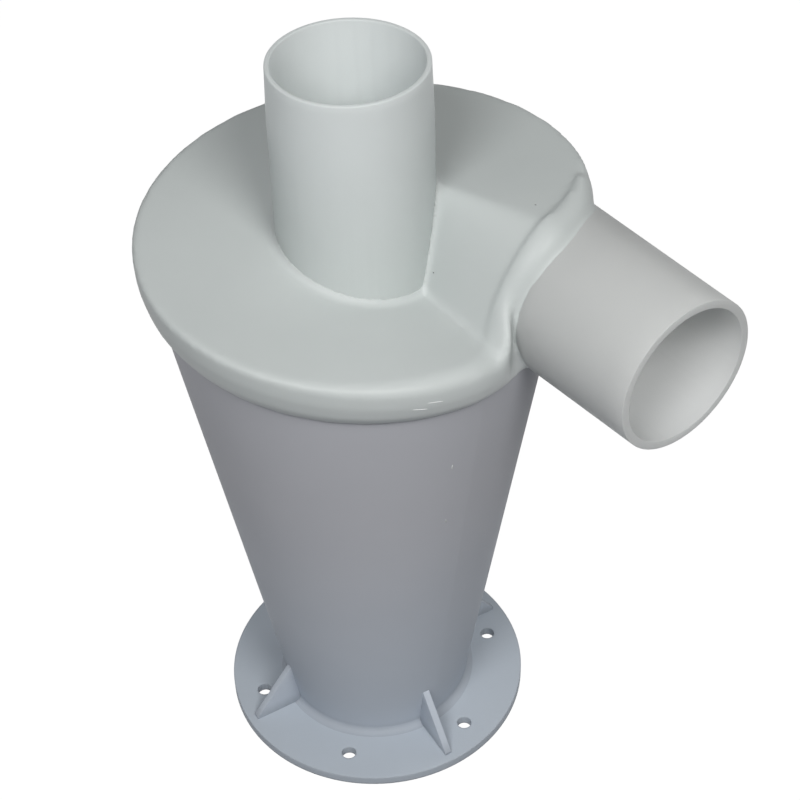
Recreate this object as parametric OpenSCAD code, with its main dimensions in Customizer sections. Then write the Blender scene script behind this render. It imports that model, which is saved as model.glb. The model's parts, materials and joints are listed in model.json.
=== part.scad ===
// Cyclone dust separator in moulded plastic, millimetres.
// Origin at the centre of the flange underside, Z up the cyclone axis, X out of the inlet mouth.

/* [Base flange] */
// Outside diameter of the round base flange
flange_diameter = 110; // [100:1:130]
// Thickness of the base flange
flange_thickness = 3.5; // [3:0.1:6]
// Diameter of the circle the screw holes lie on
bolt_circle = 89; // [84:0.5:96]
// Diameter of each screw hole
bolt_hole = 5.2; // [4:0.1:7]
// Number of screw holes
bolt_count = 6; // [3:1:8]
// Angle of the first screw hole from the inlet direction
bolt_start = 9; // [5:0.5:14]

/* [Gussets] */
// Thickness of each gusset plate
gusset_thickness = 2.4; // [1.5:0.1:4]
// Height of each gusset above the flange
gusset_height = 20; // [12:0.5:30]
// Radius that each gusset foot reaches to on the flange
gusset_reach = 52; // [46:0.5:54]
// Angle of the first gusset from the inlet direction
gusset_start = -7.5; // [-12:0.5:-4]

/* [Cone] */
// Outside radius of the cone where it stands on the flange
cone_foot = 33.5; // [31:0.1:36]
// Outward lean of the cone, sideways millimetres for each millimetre up
cone_lean = 0.162; // [0.15:0.001:0.17]
// Wall thickness of the cone, measured level
cone_wall_thickness = 3; // [2:0.1:4]
// Radius of the soft corner between cone and flange
cone_fillet = 3; // [2:0.5:5]
// Height of the cone's collar, which runs up to the low end of the rim
cone_collar = 30; // [24:1:40]

/* [Roof] */
// Height of the roof top at the low end of its turn
roof_low = 199.6; // [197:0.1:202]
// Height the roof would gain in one full turn
roof_rise = 30.5; // [29:0.1:32]
// Thickness of the roof
roof_thickness = 3; // [2.4:0.1:3.4]
// Angle of the low end of the turn from the inlet direction
roof_start = 3; // [2:0.5:4]
// Drop of the roof towards the outlet tube near its low end
roof_dish = 3; // [2:0.1:4]
// Radius of the soft corner between roof and outlet tube
roof_fillet = 2; // [1.5:0.1:3]

/* [Hood] */
// Angle where the hood over the inlet begins
hood_start = -6; // [-8:0.5:-5]
// Angle where the hood over the inlet ends
hood_end = 62; // [61:0.5:64]
// Angle of the hood's foot line from the inlet direction
hood_foot_angle = -6.6; // [-8:0.2:-5]
// Distance of the hood's foot line from the cyclone axis
hood_foot_distance = 9.8; // [9.2:0.1:10.4]
// Angle of the hood's brow line from the inlet direction
hood_brow_angle = 17; // [15:0.5:18]
// Distance of the hood's brow line from the cyclone axis
hood_brow_distance = 14.9; // [14:0.1:15.5]

/* [Rim] */
// Outside radius of the rim at the low end of the turn
rim_low_radius = 67.6; // [67.2:0.1:68.2]
// Outside radius of the rim at the high end of the turn
rim_high_radius = 73.2; // [72.5:0.1:74]
// Height of the rim band from the roof top down
rim_height = 17; // [15:0.5:18]
// Rounding of the plain rim edge
rim_round = 1.5; // [1:0.1:2]
// Distance the rim foot stands proud of the cone
rim_proud = 1; // [0.8:0.1:1.4]
// Distance the rim stands out from the cone at the low end of the turn
rim_low_overhang = 2.34; // [2.2:0.01:2.6]
// Distance the rim stands out from the cone at the high end of the turn
rim_high_overhang = 3; // [2.8:0.05:3.4]

/* [Inlet lip] */
// Radius of the crease where the hood meets the lip
lip_crease = 54.8; // [54:0.1:55.5]
// Outside radius of the lip at its front corner
lip_front = 66.6; // [66:0.1:67]
// Outside radius of the lip where it is drawn in beside the inlet tube
lip_waist = 60.5; // [60:0.1:61]
// Outside radius of the lip at its upper corner
lip_corner = 73; // [72.5:0.1:73.5]
// Rounding of the rim edge where it runs into the lip
lip_round = 5.5; // [5:0.1:6]
// Drop of the rounded shoulder of the lip
lip_drop = 5; // [4.5:0.1:5.5]
// Height the lip stands above the hood
lip_bead = 1.6; // [1:0.1:2]
// Thickness of the lip wall
lip_wall = 3.5; // [3:0.1:4]

/* [Tubes] */
// Outside diameter of the outlet tube
outlet_diameter = 50; // [48:0.5:52]
// Outside diameter of the outlet tube at its mouth
outlet_tip = 48.8; // [48:0.1:50]
// Length of the outlet tube that narrows to its mouth
outlet_taper = 18; // [10:1:25]
// Bore of the outlet tube
outlet_bore = 45.6; // [44:0.1:46.4]
// Height of the outlet tube mouth
outlet_top = 270; // [255:1:285]
// Height of the lower end of the outlet tube inside the cone
finder_bottom = 132; // [120:1:150]
// Height where the inside length of the outlet tube begins
finder_top = 192; // [185:1:193]
// Outside diameter of the inlet tube at its mouth
inlet_diameter = 50.4; // [49.6:0.1:51.5]
// Outside diameter of the inlet tube at the end that runs into the cone
inlet_root_diameter = 54; // [53:0.5:56]
// Bore of the inlet tube
inlet_bore = 45; // [44:0.5:46]
// Sideways distance of the inlet axis from the cyclone axis
inlet_offset = 39.5; // [38:0.5:40]
// Height of the inlet axis
inlet_height = 198.5; // [196:0.5:199]
// Distance of the inlet mouth from the cyclone axis
inlet_reach = 106; // [98:1:120]
// Distance from the cyclone axis where the inlet tube runs into the cone
inlet_root = 20; // [16:1:26]
// Distance from the cyclone axis where the outside of the inlet tube dies into the cone
inlet_tail = 8; // [4:1:14]
// Gap between the inlet bore and the passage cut on through the cone wall
passage_gap = 0.6; // [0.4:0.1:0.8]

/* [Hidden] */
$fa = 4;
$fs = 0.8;
slack = 0.05;
outlet_radius = outlet_diameter / 2;
roof_hole = outlet_radius / cos(2.5);
collar_foot = roof_low - cone_collar;
turn_end = roof_start + 360;
rim_end = hood_start + 360;
swing_start = rim_end - 64;
lip_turn = 5;
lip_neck = 13;
lip_top = 50;
lip_tip = 56;
root_inset = 1.2;
fore_steps = 5;
rise_steps = 14;
after_steps = 10;
hood_steps = fore_steps + rise_steps + after_steps;
turn_steps = 73;
corner_share = [0, 0.13, 0.5, 1];
turn_share = [0.5, 1];
hood_share_list = [0.15, 0.32, 0.5, 0.68, 0.84, 1];
body_colour = [0.88, 0.9, 0.9];
tube_colour = [0.86, 0.88, 0.88];

function ease(t) = t <= 0 ? 0 : t >= 1 ? 1 : t * t * (3 - 2 * t);
function hood_curve(t) =
    let (soft = t * t * 1.06 / (t + 0.06))
    t <= 0 ? 0 : t >= 1 ? 1 : 1 - pow(1 - soft, 1.7);
function at(r, a, z) = [r * cos(a), r * sin(a), z];
function straight_cone(z) = cone_foot + cone_lean * (z - flange_thickness);
function cone_radius(z) =
    let (foot = straight_cone(collar_foot))
    let (low_lean = (rim_low_radius - rim_low_overhang - foot) / cone_collar)
    let (high_lean = (rim_high_radius - rim_high_overhang - foot) / (cone_collar + roof_rise))
    z <= collar_foot ? straight_cone(z) : foot + min(low_lean, high_lean) * (z - collar_foot);
function cone_profile(bottom, top, inset) =
    let (heights = [for (z = [bottom, collar_foot, top]) if (z >= bottom && z <= top) z])
    concat([[0, bottom]], [for (z = heights) [cone_radius(z) - inset, z]], [[0, top]]);
function cone_seat(z) = cone_radius(z) / cos(2);

// Heights of the roof: one falling turn, and the hood that climbs from its low end to its high end.
function turn_top(a) = roof_low + roof_rise * (turn_end - a) / 360;
function hood_lift(r, a, shift) =
    let (foot = r * sin(a - hood_foot_angle) - hood_foot_distance - shift)
    let (brow = r * sin(a - hood_brow_angle) - hood_brow_distance - shift)
    brow >= 0 ? 1 : foot <= 0 ? 0 : hood_curve(foot / (foot - brow));
function dish(r) = roof_dish * (rim_low_radius - r) / (rim_low_radius - roof_hole);
function roof_top(r, a) =
    a < hood_end ? turn_top(a) - (roof_rise + dish(r)) * (1 - hood_lift(r, a, 0))
    : turn_top(a) - dish(r) * ease((a - 250) / 100);
function roof_under(r, a) =
    a < hood_end ? turn_top(a) - (roof_rise + dish(r)) * (1 - hood_lift(r, a, roof_thickness)) - roof_thickness
    : roof_top(r, a) - roof_thickness;
function wall_top(a) =
    roof_under(cone_radius(turn_top(a) - roof_thickness) - cone_wall_thickness, a) - slack;
function tube_corner(r) =
    let (out = roof_hole + roof_fillet - r)
    out <= 0 ? 0 : roof_fillet - sqrt(max(0, roof_fillet * roof_fillet - out * out));

// Plan of the rim: the plain rim swells slowly round the turn, the lip is drawn in and swings out to a corner.
function plain_rim(a) = rim_low_radius + (rim_high_radius - rim_low_radius) * (turn_end - a) / 360;
function rim_radius(a) =
    a >= hood_end ? plain_rim(a)
    : a < lip_turn ? plain_rim(rim_end) + (lip_front - plain_rim(rim_end)) * ease((a - hood_start) / 11)
    : a < lip_neck ? lip_front + (lip_waist - lip_front) * ease((a - lip_turn) / (lip_neck - lip_turn))
    : a < lip_top ? lip_corner + (lip_waist - lip_corner) * pow((lip_top - a) / (lip_top - lip_neck), 2)
    : lip_corner + (plain_rim(hood_end) - lip_corner) * ease((a - lip_top) / (hood_end - lip_top));
function roof_edge(a) =
    let (low = plain_rim(rim_end) - lip_round, high = plain_rim(hood_end) - rim_round)
    a >= hood_end ? plain_rim(a) - rim_round - (lip_round - rim_round) * ease((a - swing_start) / 64)
    : lip_crease + (low - lip_crease) * (1 - ease((a - hood_start) / 16))
        + (high - lip_crease) * pow(max(0, (a - 14) / (hood_end - 14)), 1.1);
function rim_foot(a) =
    let (low = turn_top(rim_end) - rim_height, high = turn_top(hood_end) - rim_height)
    a >= hood_end ? turn_top(a) - rim_height : low + (high - low) * ease((a - 30) / (hood_end - 30));
function foot_radius(a) = cone_radius(rim_foot(a)) + rim_proud;
function shoulder(a) =
    let (wide = rim_radius(a) - roof_edge(a), drop = min(lip_drop, 0.8 * wide))
    let (bead = a < hood_end ? lip_bead * ease((a + 2) / 16) * ease((lip_tip - a) / 3) : 0)
    [for (t = [0, 6, 26, 48, 70, 90])
        let (r = roof_edge(a) + wide * sin(t))
        at(r, a, roof_top(r, a) + (t > 0 ? bead * cos(t) : 0) - drop * (1 - cos(t)))];
function band_face(a) =
    let (r = rim_radius(a), z = shoulder(a)[5][2], foot = rim_foot(a), low = foot_radius(a))
    [for (s = [0.35, 0.7, 1]) at(r - (r - low) * s * s * s, a, z - (z - foot) * s)];

// Rings of the roof and the angles of its sections, which follow the foot and the brow of the hood.
function ring_radius(j, a, shares) =
    j < 4 ? roof_hole + roof_fillet * corner_share[j]
    : roof_hole + roof_fillet + (roof_edge(a) - roof_hole - roof_fillet) * shares[j - 4];
function hood_line(r, angle, distance) = min(hood_end - 6, asin(distance / r) + angle);
function hood_angle(k, j) =
    let (r = ring_radius(j, 6, hood_share_list))
    let (foot = hood_line(r, hood_foot_angle, hood_foot_distance))
    let (brow = hood_line(r, hood_brow_angle, hood_brow_distance))
    k < fore_steps ? hood_start + (foot - hood_start) * k / fore_steps
    : k < fore_steps + rise_steps ? foot + (brow - foot) * (k - fore_steps) / rise_steps
    : brow + (hood_end - brow) * (k - fore_steps - rise_steps) / after_steps;
function lip_angle(k) = hood_angle(k, len(hood_share_list) + 3);
function turn_angle(k) = hood_end + (rim_end - hood_end) * k / turn_steps;

// Faces of a row of sections: closed into a ring, or closed by its two end sections.
function ring_faces(stations, points, joined) =
    let (last = joined ? stations - 1 : stations - 2)
    concat(
        [for (k = [0:last]) for (j = [0:points - 1]) for (half = [0, 1])
            let (a = k * points + j, b = k * points + (j + 1) % points)
            let (c = ((k + 1) % stations) * points + j, d = ((k + 1) % stations) * points + (j + 1) % points)
            j == points - 1 ? (half == 0 ? [a, c, b] : [b, c, d]) : half == 0 ? [a, d, b] : [a, c, d]],
        joined ? [] : [[for (j = [0:points - 1]) j], [for (j = [points - 1:-1:0]) (stations - 1) * points + j]]);

module cone_solid(inset, top) {
    rotate_extrude()
        polygon(cone_profile(flange_thickness, top, inset));
}

module cone_skirt() {
    low = flange_thickness;
    rotate_extrude()
        polygon(concat([[cone_foot - 1, low]],
            [for (t = [0:15:90])
                [cone_foot + cone_fillet * (1 - sin(t)) + cone_lean * cone_fillet * (1 - cos(t)),
                 low + cone_fillet * (1 - cos(t))]],
            [[cone_foot - 1, low + cone_fillet]]));
}

module inlet_rod(diameter, from, to) {
    translate([from, inlet_offset, inlet_height])
        rotate([0, 90, 0])
            cylinder(d = diameter, h = to - from);
}

module inlet_outside() {
    translate([inlet_tail, inlet_offset, inlet_height])
        rotate([0, 90, 0])
            cylinder(d1 = inlet_root_diameter, d2 = inlet_diameter, h = inlet_reach - inlet_tail);
}

module inlet_body() {
    difference() {
        inlet_outside();
        cone_solid(cone_wall_thickness + root_inset, roof_low + roof_rise);
    }
}

module base_flange() {
    color(body_colour)
        difference() {
            cylinder(d = flange_diameter, h = flange_thickness);
            translate([0, 0, -1])
                cylinder(r = cone_foot - cone_wall_thickness, h = flange_thickness + 2);
            for (i = [0:bolt_count - 1])
                rotate(bolt_start + i * 360 / bolt_count)
                    translate([bolt_circle / 2, 0, -1])
                        cylinder(d = bolt_hole, h = flange_thickness + 2);
        }
}

module gusset(turn) {
    low = flange_thickness;
    color(body_colour)
        difference() {
            rotate([90, 0, gusset_start + turn])
                translate([0, 0, -gusset_thickness / 2])
                    linear_extrude(gusset_thickness)
                        polygon([[cone_foot - 2, low], [gusset_reach, low], [gusset_reach, low + 1],
                                 [cone_radius(low + gusset_height), low + gusset_height],
                                 [cone_foot - 2, low + gusset_height]]);
            cone_solid(0, low + gusset_height + 5);
            cone_skirt();
        }
}

module gusset_1() {
    gusset(0);
}

module gusset_2() {
    gusset(90);
}

module gusset_3() {
    gusset(180);
}

module gusset_4() {
    gusset(270);
}

module above_wall() {
    inner = outlet_radius + 2 * cone_wall_thickness;
    outer = max(rim_low_radius, rim_high_radius) + 2 * cone_wall_thickness;
    top = roof_low + roof_rise + 20;
    lip_wall_tops = [for (k = [0:hood_steps]) [lip_angle(k), rim_foot(lip_angle(k)) - slack]];
    turn_wall_tops = [for (k = [0:turn_steps])
        let (a = turn_angle(k))
        [k == 0 ? a + slack : k == turn_steps ? a - slack : a, wall_top(a)]];
    edge = concat(lip_wall_tops, turn_wall_tops);
    points = [for (p = edge)
        each [at(inner, p[0], top), at(outer, p[0], top), at(outer, p[0], p[1]), at(inner, p[0], p[1])]];
    polyhedron(points, ring_faces(len(edge), 4, true));
}

module cone_wall() {
    top = roof_low + roof_rise;
    color(body_colour)
        difference() {
            union() {
                cone_solid(0, top);
                cone_skirt();
            }
            rotate_extrude()
                polygon(cone_profile(-slack, top + slack, cone_wall_thickness));
            above_wall();
            inlet_outside();
            inlet_rod(inlet_bore + 2 * passage_gap, 0, inlet_reach);
        }
}

module roof_piece(angles, shares) {
    rings = len(shares) + 4;
    stations = len(angles);
    points = [for (k = [0:stations - 1]) for (j = [0:2 * rings - 1])
        let (ring = j < rings ? j : 2 * rings - 1 - j)
        let (a = angles[k][ring], r = ring_radius(ring, a, shares))
        at(r, a, j < rings ? roof_top(r, a) + tube_corner(r) : roof_under(r, a))];
    polyhedron(points, ring_faces(stations, 2 * rings, false));
}

module spiral_roof() {
    color(body_colour)
        roof_piece([for (k = [0:turn_steps]) [for (j = [0:5]) turn_angle(k)]], turn_share);
}

module inlet_hood() {
    color(body_colour)
        difference() {
            roof_piece([for (k = [0:hood_steps]) [for (j = [0:9]) hood_angle(k, j)]], hood_share_list);
            inlet_body();
        }
}

module rim_band() {
    points = [for (k = [0:turn_steps])
        let (a = turn_angle(k), foot = rim_foot(a), edge = roof_edge(a))
        each concat(shoulder(a), band_face(a),
            [at(cone_seat(foot), a, foot), at(cone_seat(wall_top(a)), a, wall_top(a)),
             at(edge, a, roof_under(edge, a))])];
    color(body_colour)
        difference() {
            polyhedron(points, ring_faces(turn_steps + 1, 12, false));
            inlet_outside();
        }
}

module inlet_lip() {
    points = [for (k = [0:hood_steps])
        let (a = lip_angle(k), foot = rim_foot(a), edge = roof_edge(a))
        let (inner = min(rim_radius(a) - lip_wall, cone_radius(foot) - cone_wall_thickness - slack))
        each concat(shoulder(a), band_face(a),
            [at(inner, a, foot), at(inner, a, roof_under(inner, a)), at(edge, a, roof_under(edge, a))])];
    color(body_colour)
        difference() {
            polyhedron(points, ring_faces(hood_steps + 1, 12, false));
            inlet_outside();
        }
}

module inlet_pipe() {
    color(tube_colour)
        difference() {
            inlet_body();
            inlet_rod(inlet_bore, inlet_root, inlet_reach + 1);
            inlet_rod(inlet_bore + 2 * passage_gap, 0, inlet_root);
        }
}

module outlet_pipe() {
    plain = outlet_top - outlet_taper - finder_top;
    color(tube_colour)
        translate([0, 0, finder_top])
            difference() {
                union() {
                    cylinder(d = outlet_diameter, h = plain);
                    translate([0, 0, plain])
                        cylinder(d1 = outlet_diameter, d2 = outlet_tip, h = outlet_taper);
                }
                translate([0, 0, -1])
                    cylinder(d = outlet_bore, h = outlet_top - finder_top + 2);
            }
}

module vortex_finder() {
    color(tube_colour)
        translate([0, 0, finder_bottom])
            difference() {
                cylinder(d = outlet_diameter, h = finder_top - finder_bottom);
                translate([0, 0, -1])
                    cylinder(d = outlet_bore, h = finder_top - finder_bottom + 2);
            }
}

base_flange();
gusset_1();
gusset_2();
gusset_3();
gusset_4();
cone_wall();
spiral_roof();
inlet_hood();
rim_band();
inlet_lip();
inlet_pipe();
outlet_pipe();
vortex_finder();
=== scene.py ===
import json
import math

import bmesh
import bpy
from mathutils import Matrix, Vector


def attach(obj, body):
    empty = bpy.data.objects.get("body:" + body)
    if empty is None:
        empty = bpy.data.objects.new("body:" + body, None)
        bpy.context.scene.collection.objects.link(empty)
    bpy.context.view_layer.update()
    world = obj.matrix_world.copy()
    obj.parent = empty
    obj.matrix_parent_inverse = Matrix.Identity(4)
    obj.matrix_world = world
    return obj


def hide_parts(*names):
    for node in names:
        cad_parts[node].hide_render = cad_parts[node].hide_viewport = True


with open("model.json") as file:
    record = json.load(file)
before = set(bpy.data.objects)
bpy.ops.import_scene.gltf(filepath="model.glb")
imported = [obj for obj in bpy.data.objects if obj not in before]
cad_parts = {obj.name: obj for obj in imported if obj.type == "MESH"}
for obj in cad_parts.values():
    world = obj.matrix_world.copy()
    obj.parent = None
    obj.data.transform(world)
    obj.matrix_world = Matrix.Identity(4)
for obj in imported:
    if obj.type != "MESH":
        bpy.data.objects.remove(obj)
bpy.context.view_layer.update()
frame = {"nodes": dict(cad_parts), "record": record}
parts = frame["nodes"]
slotOf = {row["node"]: row["material_slot"] for row in frame["record"]["subparts"]}
print("frame loaded:", len(parts), "nodes")


# moulded plastic: colour by height, faint clouds, fine grain, a little light let through

plasticLook = {"cloudDetail": 3, "cloudRange": (0.3, 0.7), "grainDetail": 4, "grainDepth": 0.0004,
               "edgeSamples": 6, "ior": 1.49}


def node(tree, kind, x, y, **values):
    made = tree.nodes.new(kind)
    made.location = (x, y)
    for key, value in values.items():
        setattr(made, key, value)
    return made


def addNoise(tree, where, y, scale, detail):
    made = node(tree, "ShaderNodeTexNoise", -1050, y)
    made.inputs["Scale"].default_value = scale
    made.inputs["Detail"].default_value = detail
    tree.links.new(where, made.inputs["Vector"])
    return made.outputs["Fac"]


def heightColor(tree, where, levels):
    foot, top = levels[0][0], levels[-1][0]
    axes = node(tree, "ShaderNodeSeparateXYZ", -1050, 500)
    climb = node(tree, "ShaderNodeMapRange", -820, 500)
    ramp = node(tree, "ShaderNodeValToRGB", -640, 500)
    climb.inputs["From Min"].default_value = foot
    climb.inputs["From Max"].default_value = top
    stops = ramp.color_ramp.elements  # starts with one stop at each end
    ramp.color_ramp.interpolation = "EASE"
    for height, color in levels[1:-1]:
        stops.new((height - foot) / (top - foot))
    for stop, (height, color) in zip(stops, levels):
        stop.color = color + (1,)
    tree.links.new(where, axes.inputs["Vector"])
    tree.links.new(axes.outputs["Z"], climb.inputs["Value"])
    tree.links.new(climb.outputs["Result"], ramp.inputs["Fac"])
    return ramp.outputs["Color"]


def cloudColor(tree, color, cloud, shade):
    spread = node(tree, "ShaderNodeMapRange", -820, 150)
    spread.inputs["From Min"].default_value = plasticLook["cloudRange"][0]
    spread.inputs["From Max"].default_value = plasticLook["cloudRange"][1]
    tint = node(tree, "ShaderNodeMix", -180, 300, data_type="RGBA", blend_type="MULTIPLY")
    factor, first, second = tint.inputs[0], tint.inputs[6], tint.inputs[7]
    second.default_value = shade + (1,)
    tree.links.new(cloud, spread.inputs["Value"])
    tree.links.new(spread.outputs["Result"], factor)
    tree.links.new(color, first)
    return tint.outputs[2]


def grainNormal(tree, where, look):
    grain = addNoise(tree, where, -250, look["grainScale"], plasticLook["grainDetail"])
    bump = node(tree, "ShaderNodeBump", -300, -350)
    bump.inputs["Strength"].default_value = look["grain"]
    bump.inputs["Distance"].default_value = plasticLook["grainDepth"]
    tree.links.new(grain, bump.inputs["Height"])
    if "edge" in look:
        soft = node(tree, "ShaderNodeBevel", -520, -450, samples=plasticLook["edgeSamples"])
        soft.inputs["Radius"].default_value = look["edge"]
        tree.links.new(soft.outputs["Normal"], bump.inputs["Normal"])
    return bump.outputs["Normal"]


def plastic(name, look):
    material = bpy.data.materials.new(name)
    material.use_nodes = True
    tree = material.node_tree
    where = node(tree, "ShaderNodeTexCoord", -1300, 0).outputs["Object"]
    cloud = addNoise(tree, where, 150, look["cloudScale"], plasticLook["cloudDetail"])
    color = cloudColor(tree, heightColor(tree, where, look["levels"]), cloud, look["shade"])
    normal = grainNormal(tree, where, look)
    rough = node(tree, "ShaderNodeMapRange", -600, -150)
    rough.inputs["To Min"].default_value = look["gloss"][0]
    rough.inputs["To Max"].default_value = look["gloss"][1]
    shader = tree.nodes["Principled BSDF"]
    shader.inputs["IOR"].default_value = plasticLook["ior"]
    shader.inputs["Specular IOR Level"].default_value = look["shine"]
    milk = node(tree, "ShaderNodeBsdfTranslucent", 0, -400)
    blend = node(tree, "ShaderNodeMixShader", 320, 0)
    blend.inputs["Fac"].default_value = look["milk"]
    tree.links.new(cloud, rough.inputs["Value"])
    tree.links.new(rough.outputs["Result"], shader.inputs["Roughness"])
    tree.links.new(color, shader.inputs["Base Color"])
    tree.links.new(color, milk.inputs["Color"])
    tree.links.new(normal, shader.inputs["Normal"])
    tree.links.new(normal, milk.inputs["Normal"])
    tree.links.new(shader.outputs["BSDF"], blend.inputs[1])
    tree.links.new(milk.outputs["BSDF"], blend.inputs[2])
    last = tree.nodes["Material Output"]
    last.location = (560, 0)
    tree.links.new(blend.outputs["Shader"], last.inputs["Surface"])
    return material


# one finish for each kind of piece, levels are (height in metres, colour)

# painted light in the body's colours: darkest at the flange joint as painted crease shade, lighter just above
# it as painted bounce light from the flange, and darker than the lid higher up as painted shade on the cone
bodyLook = {"levels": [(0.0035, (0.45, 0.49, 0.545)), (0.009, (0.58, 0.63, 0.70)),
                       (0.15, (0.54, 0.545, 0.58))],
            "shade": (0.95, 0.955, 0.96), "cloudScale": 14, "grainScale": 900,
            "gloss": (0.48, 0.58), "grain": 0.06, "shine": 0.12, "milk": 0.1}
flangeLook = {"levels": [(0, (0.51, 0.555, 0.615)), (0.0035, (0.525, 0.575, 0.635))], "edge": 0.001,
              "shade": (0.95, 0.955, 0.96), "cloudScale": 16, "grainScale": 900,
              "gloss": (0.46, 0.56), "grain": 0.06, "shine": 0.15, "milk": 0.1}
lidLook = {"levels": [(0.185, (0.66, 0.69, 0.69)), (0.2, (0.62, 0.655, 0.65)), (0.23, (0.59, 0.625, 0.62))],
           "shade": (0.95, 0.955, 0.955), "cloudScale": 18, "grainScale": 900,
           "gloss": (0.38, 0.48), "grain": 0.05, "shine": 0.28, "milk": 0.15}
# painted light: the outlet tube is lighter towards its foot as painted bounce light from the roof
outletLook = {"levels": [(0.19, (0.87, 0.91, 0.90)), (0.27, (0.80, 0.83, 0.83))],
              "shade": (0.95, 0.955, 0.955), "cloudScale": 16, "grainScale": 900,
              "gloss": (0.34, 0.44), "grain": 0.05, "shine": 0.4, "milk": 0.38}
inletLook = {"levels": [(0.17, (0.75, 0.76, 0.76)), (0.22, (0.74, 0.75, 0.745))],
             "shade": (0.95, 0.955, 0.955), "cloudScale": 16, "grainScale": 900,
             "gloss": (0.34, 0.44), "grain": 0.05, "shine": 0.4, "milk": 0.42}
slotFinish = {"body": plastic("bodyPlastic", bodyLook), "lid": plastic("lidPlastic", lidLook),
              "tube": plastic("outletPlastic", outletLook)}
ownFinish = {"inlet_pipe": plastic("inletPlastic", inletLook),
             "base_flange": plastic("flangePlastic", flangeLook)}

edgeLook = {"sharp": 32, "steps": 3, "from": 35, "weld": 1e-6,  # angles in degrees
            "widths": {"gusset_1": 0.0006, "gusset_2": 0.0006, "gusset_3": 0.0006, "gusset_4": 0.0006,
                       "outlet_pipe": 0.0004, "inlet_pipe": 0.0005}}


def smoothFaces(mesh):
    for face in mesh.polygons:
        face.use_smooth = True


def keepSharp(mesh):
    mesh.set_sharp_from_angle(angle=math.radians(edgeLook["sharp"]))


def softenEdges(part, width):
    weld = part.modifiers.new("weld", "WELD")
    weld.merge_threshold = edgeLook["weld"]
    bevel = part.modifiers.new("softEdge", "BEVEL")
    bevel.width = width
    bevel.segments = edgeLook["steps"]
    bevel.limit_method = "ANGLE"
    bevel.angle_limit = math.radians(edgeLook["from"])
    bevel.harden_normals = True


for name, part in parts.items():
    part.data.materials.clear()
    part.data.materials.append(ownFinish.get(name, slotFinish[slotOf[name]]))
    smoothFaces(part.data)
    if name in edgeLook["widths"]:
        softenEdges(part, edgeLook["widths"][name])
    else:
        keepSharp(part.data)
print("materials done")


# the lid is one soft moulding, so its four nodes are joined and softened in one skin

lidSkinLook = {"nodes": ("spiral_roof", "inlet_hood", "rim_band", "inlet_lip"), "ends": (-6, 62),  # degrees
               "flat": 2e-6, "swell": 5e-6, "cell": 0.001, "passes": 5, "softness": 0.5,
               "weld": 1e-6, "mend": 3e-5}
inletStart = (0.034, 0.0395, 0.1985)  # on the inlet's axis, inside the lid
outletStub = {"at": (0, 0, 0.1925), "turn": 0, "length": 0.0475, "radius": (0.0244, 0.0244), "bore": 0.021}
inletStub = {"at": inletStart, "turn": 90, "length": 0.034, "radius": (0.0262, 0.02548), "bore": 0.0228}
tubeHole = {"radius": 0.02492, "low": 0.15, "high": 0.28, "sides": 160}


def asObject(shape, name):
    mesh = bpy.data.meshes.new(name)
    shape.to_mesh(mesh)
    shape.free()
    made = bpy.data.objects.new(name, mesh)
    bpy.context.scene.collection.objects.link(made)
    return made


def makeRing(look, name, sides=120):
    shape = bmesh.new()
    length, bore = look["length"], look["bore"]
    rows = [(0, bore), (0, look["radius"][0]), (length, look["radius"][1]), (length, bore)]
    place = Matrix.Translation(look["at"]) @ Matrix.Rotation(math.radians(look["turn"]), 4, "Y")
    angles = [2 * math.pi * k / sides for k in range(sides)]
    loops = [[shape.verts.new(place @ Vector((r * math.cos(a), r * math.sin(a), z))) for a in angles]
             for z, r in rows]
    for j, near in enumerate(loops):
        far = loops[(j + 1) % len(loops)]
        for k in range(sides):
            shape.faces.new((near[k], near[(k + 1) % sides], far[(k + 1) % sides], far[k]))
    bmesh.ops.recalc_face_normals(shape, faces=shape.faces)
    return asObject(shape, name)


def makeRod(look, name):
    shape = bmesh.new()
    middle = Matrix.Translation((0, 0, (look["low"] + look["high"]) / 2))
    bmesh.ops.create_cone(shape, cap_ends=True, segments=look["sides"], radius1=look["radius"],
                          radius2=look["radius"], depth=look["high"] - look["low"], matrix=middle)
    return asObject(shape, name)


def splitLarge(shape):
    bmesh.ops.triangulate(shape, faces=[face for face in shape.faces if len(face.verts) > 4])


def closeEnds(shape, look):
    for angle in look["ends"]:
        along = Vector((math.cos(math.radians(angle)), math.sin(math.radians(angle)), 0))
        across = Vector((-along.y, along.x, 0))
        ends = [face for face in shape.faces
                if all(abs(v.co.dot(across)) < look["flat"] and v.co.dot(along) > 0 for v in face.verts)]
        bmesh.ops.delete(shape, geom=ends, context="FACES_ONLY")
    rims = [edge for edge in shape.edges if len(edge.link_faces) == 1]
    bmesh.ops.holes_fill(shape, edges=rims, sides=0)
    loose = [edge for edge in shape.edges if not edge.link_faces]
    bmesh.ops.delete(shape, geom=loose, context="EDGES")
    splitLarge(shape)
    bmesh.ops.recalc_face_normals(shape, faces=shape.faces)


def copyNode(name, look):
    shape = bmesh.new()
    shape.from_mesh(parts[name].data)
    bmesh.ops.remove_doubles(shape, verts=shape.verts, dist=look["weld"])
    closeEnds(shape, look)
    for dot in shape.verts:
        dot.co += dot.normal * look["swell"]  # lets touching faces overlap a hair
    return asObject(shape, name + "Copy")


def addBoolean(lid, other, operation):
    step = lid.modifiers.new(operation.lower(), "BOOLEAN")
    step.operation = operation
    step.solver = "MANIFOLD"
    step.object = other


def mendSkin(skin, look):
    shape = bmesh.new()
    shape.from_mesh(skin)
    bmesh.ops.remove_doubles(shape, verts=shape.verts, dist=look["mend"])
    bmesh.ops.dissolve_degenerate(shape, edges=shape.edges, dist=look["mend"])
    bmesh.ops.dissolve_verts(shape, verts=[dot for dot in shape.verts if len(dot.link_edges) == 2])
    splitLarge(shape)
    shape.to_mesh(skin)
    shape.free()


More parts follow.
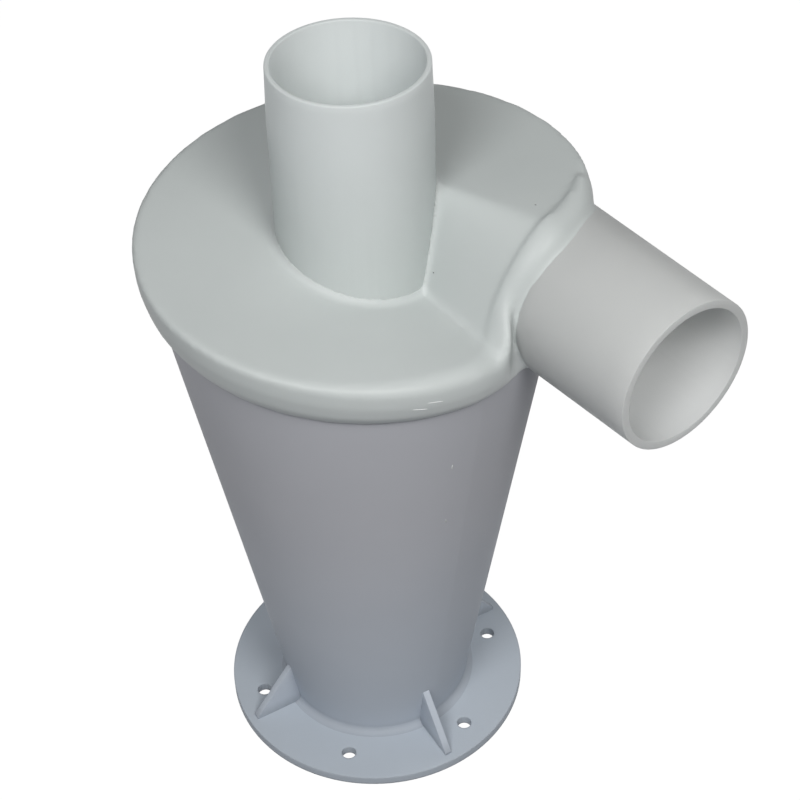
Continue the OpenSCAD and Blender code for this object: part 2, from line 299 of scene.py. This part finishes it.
def makeLidSkin(look):
    lid, *others = [copyNode(name, look) for name in look["nodes"]]
    lid.name = "lidSkin"
    others += [makeRing(outletStub, "outletStub"), makeRing(inletStub, "inletStub")]
    for other in others:
        addBoolean(lid, other, "UNION")
    evenOut = lid.modifiers.new("evenOut", "REMESH")
    evenOut.mode = "VOXEL"
    evenOut.voxel_size = look["cell"]
    soften = lid.modifiers.new("soften", "SMOOTH")
    soften.factor = look["softness"]
    soften.iterations = look["passes"]
    rod = makeRod(tubeHole, "tubeRod")
    addBoolean(lid, rod, "DIFFERENCE")  # the outlet tube stands in this hole
    bpy.context.view_layer.update()
    ready = lid.evaluated_get(bpy.context.evaluated_depsgraph_get())
    skin = bpy.data.meshes.new_from_object(ready)
    lid.modifiers.clear()
    lid.data = skin
    mendSkin(skin, look)
    for other in others + [rod]:
        bpy.data.objects.remove(other)
    skin.materials.clear()
    skin.materials.append(slotFinish["lid"])
    smoothFaces(skin)
    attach(lid, "root")
    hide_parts(*look["nodes"])
    print("lid skin:", len(skin.polygons), "faces")


makeLidSkin(lidSkinLook)
print("skin done")


# a ring in the inlet tube's wall, which fills it up to the lip

inletRootLook = {"at": inletStart, "turn": 90, "length": 0.034, "radius": (0.02638, 0.02563), "bore": 0.02262}


def makeInletRoot(look):
    root = makeRing(look, "inletRoot")
    root.data.materials.append(ownFinish["inlet_pipe"])
    smoothFaces(root.data)
    keepSharp(root.data)
    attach(root, "root")


makeInletRoot(inletRootLook)
print("inlet root done")


# small marks, each from one end to the other with its radius

# the rim nicks are drawn lighter than the lid as a painted highlight on their edge; the light cone flecks
# share these colours
nickHighlightAndFleckLook = {"levels": [(0.12, (0.60, 0.62, 0.62)), (0.2, (0.72, 0.74, 0.74))],
            "shade": (0.9, 0.9, 0.9), "cloudScale": 300, "grainScale": 900,
            "gloss": (0.3, 0.4), "grain": 0.05, "shine": 0.4, "milk": 0.1}
speckLook = {"levels": [(0.19, (0.16, 0.16, 0.16)), (0.23, (0.2, 0.2, 0.2))],
             "shade": (0.8, 0.8, 0.8), "cloudScale": 400, "grainScale": 900,
             "gloss": (0.5, 0.6), "grain": 0.05, "shine": 0.2, "milk": 0.05}
markLooks = [
    # rim nicks with a painted highlight in their colour
    {"name": "rimNicksWithHighlight", "finish": plastic("nickHighlightPlastic", nickHighlightAndFleckLook), "slot": "lid", "marks": [
        ((0.0639, -0.0226, 0.1943), (0.06516, -0.0184, 0.1935), 0.00025),
        ((0.06204, -0.02689, 0.1928), (0.06343, -0.02283, 0.1918), 0.00025)]},
    {"name": "coneFlecks", "finish": plastic("fleckPlastic", nickHighlightAndFleckLook), "slot": "body", "marks": [
        ((0.05745, -0.0086, 0.1558), (0.05721, -0.0086, 0.1543), 0.0003),
        ((0.05302, -0.0079, 0.1281), (0.05278, -0.0079, 0.1266), 0.00025)]},
    {"name": "dustSpecks", "finish": plastic("speckPlastic", speckLook), "slot": "lid", "marks": [
        ((0.0439, 0.0347, 0.22711), (0.0441, 0.0349, 0.22709), 0.00018),
        ((0.0261, 0.0097, 0.2031), (0.0261, 0.0098, 0.2034), 0.00015)]},
]


def makeMarks(look):
    shape = bmesh.new()
    for start, end, radius in look["marks"]:
        start, end = Vector(start), Vector(end)
        along = end - start
        turn = along.to_track_quat("Z", "Y").to_matrix().to_4x4()
        stretch = Matrix.Diagonal((radius, radius, along.length / 2 + radius, 1))
        place = Matrix.Translation((start + end) / 2) @ turn @ stretch
        bmesh.ops.create_uvsphere(shape, u_segments=16, v_segments=12, radius=1, matrix=place)
    made = asObject(shape, look["name"])
    made.data.materials.append(look["finish"])
    smoothFaces(made.data)
    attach(made, "root")


for look in markLooks:
    makeMarks(look)
print("marks done")


# white floor: white to the eye, grey in the light it throws back

floorLook = {"size": 40.0, "drop": 0.0005, "bounce": (0.24, 0.25, 0.27), "paper": (0.95, 0.95, 0.95),
             "glow": 1.04, "white": 0.95}


def floorWhite(look):
    material = bpy.data.materials.new("floorWhite")
    material.use_nodes = True
    tree = material.node_tree
    tree.nodes.clear()
    rays = node(tree, "ShaderNodeLightPath", -600, 300)
    mirrored = node(tree, "ShaderNodeMath", -380, 300, operation="MAXIMUM")
    seen = node(tree, "ShaderNodeMath", -200, 300, operation="MAXIMUM")
    matte = node(tree, "ShaderNodeBsdfDiffuse", -200, 0)
    paper = node(tree, "ShaderNodeBsdfDiffuse", -200, -150)
    glow = node(tree, "ShaderNodeEmission", -200, -300)
    lit = node(tree, "ShaderNodeMixShader", 100, -200)
    choose = node(tree, "ShaderNodeMixShader", 350, 0)
    last = node(tree, "ShaderNodeOutputMaterial", 600, 0)
    matte.inputs["Color"].default_value = look["bounce"] + (1,)
    paper.inputs["Color"].default_value = look["paper"] + (1,)
    glow.inputs["Strength"].default_value = look["glow"]
    lit.inputs["Fac"].default_value = look["white"]  # the rest is paper, which takes the shadow
    tree.links.new(rays.outputs["Is Camera Ray"], mirrored.inputs[0])
    tree.links.new(rays.outputs["Is Glossy Ray"], mirrored.inputs[1])
    tree.links.new(mirrored.outputs[0], seen.inputs[0])
    tree.links.new(rays.outputs["Is Transmission Ray"], seen.inputs[1])
    tree.links.new(paper.outputs[0], lit.inputs[1])
    tree.links.new(glow.outputs[0], lit.inputs[2])
    tree.links.new(seen.outputs[0], choose.inputs["Fac"])
    tree.links.new(matte.outputs[0], choose.inputs[1])
    tree.links.new(lit.outputs[0], choose.inputs[2])
    tree.links.new(choose.outputs[0], last.inputs["Surface"])
    return material


def makeFloor(look):
    half = look["size"] / 2
    corners = [(-half, -half, 0), (half, -half, 0), (half, half, 0), (-half, half, 0)]
    mesh = bpy.data.meshes.new("floor")
    mesh.from_pydata(corners, [], [(0, 1, 2, 3)])
    mesh.materials.append(floorWhite(look))
    floor = bpy.data.objects.new("floor", mesh)
    bpy.context.scene.collection.objects.link(floor)
    floor.location.z = -look["drop"]


makeFloor(floorLook)
print("floor done")


# soft light from two sides in front, and a weak one behind

skyLook = {"color": (0.95, 0.98, 1.0), "strength": 0.13}
lampTarget = (0, 0, 0.18)
lampLooks = [
    {"name": "rightLamp", "at": (0.628, -0.122, 0.82), "size": 0.35, "power": 4.2, "color": (1, 0.99, 0.97)},
    {"name": "leftLamp", "at": (0.33, -0.549, 0.82), "size": 0.35, "power": 3.9, "color": (1, 1, 1)},
    {"name": "backLamp", "at": (-0.15, 0.75, 0.6), "size": 0.5, "power": 0.95, "color": (1, 1, 1)},
]


def makeSky(look):
    world = bpy.data.worlds.new("studio")
    world.use_nodes = True
    sky = world.node_tree.nodes["Background"]
    sky.inputs["Color"].default_value = look["color"] + (1,)
    sky.inputs["Strength"].default_value = look["strength"]
    bpy.context.scene.world = world


def makeLamp(look):
    data = bpy.data.lights.new(look["name"], "AREA")
    data.shape = "DISK"
    data.size = look["size"]
    data.energy = look["power"]
    data.color = look["color"]
    lamp = bpy.data.objects.new(look["name"], data)
    bpy.context.scene.collection.objects.link(lamp)
    lamp.location = look["at"]
    lamp.rotation_euler = (Vector(lampTarget) - Vector(look["at"])).to_track_quat("-Z", "Y").to_euler()


makeSky(skyLook)
for look in lampLooks:
    makeLamp(look)
print("lamps done")


# the photo's view, with its slight roll in degrees

cameraLook = {"at": (0.3817, -0.2704, 0.5586), "to": (0.0069, 0.00973, 0.1374), "roll": -1.85,
              "lens": 84.29, "sensor": 36, "clip": (0.01, 50)}


def makeCamera(look):
    data = bpy.data.cameras.new("photoCamera")
    data.lens = look["lens"]
    data.sensor_width = look["sensor"]
    data.clip_start, data.clip_end = look["clip"]
    camera = bpy.data.objects.new("photoCamera", data)
    bpy.context.scene.collection.objects.link(camera)
    ahead = (Vector(look["to"]) - Vector(look["at"])).normalized()
    right = ahead.cross(Vector((0, 0, 1))).normalized()
    up = right.cross(ahead)
    roll = math.radians(look["roll"])
    x = right * math.cos(roll) + up * math.sin(roll)
    y = up * math.cos(roll) - right * math.sin(roll)
    turn = Matrix((x, y, -ahead)).transposed().to_4x4()
    camera.matrix_world = Matrix.Translation(look["at"]) @ turn
    bpy.context.scene.camera = camera


makeCamera(cameraLook)
bpy.context.scene.view_settings.view_transform = "Standard"
print("camera done")
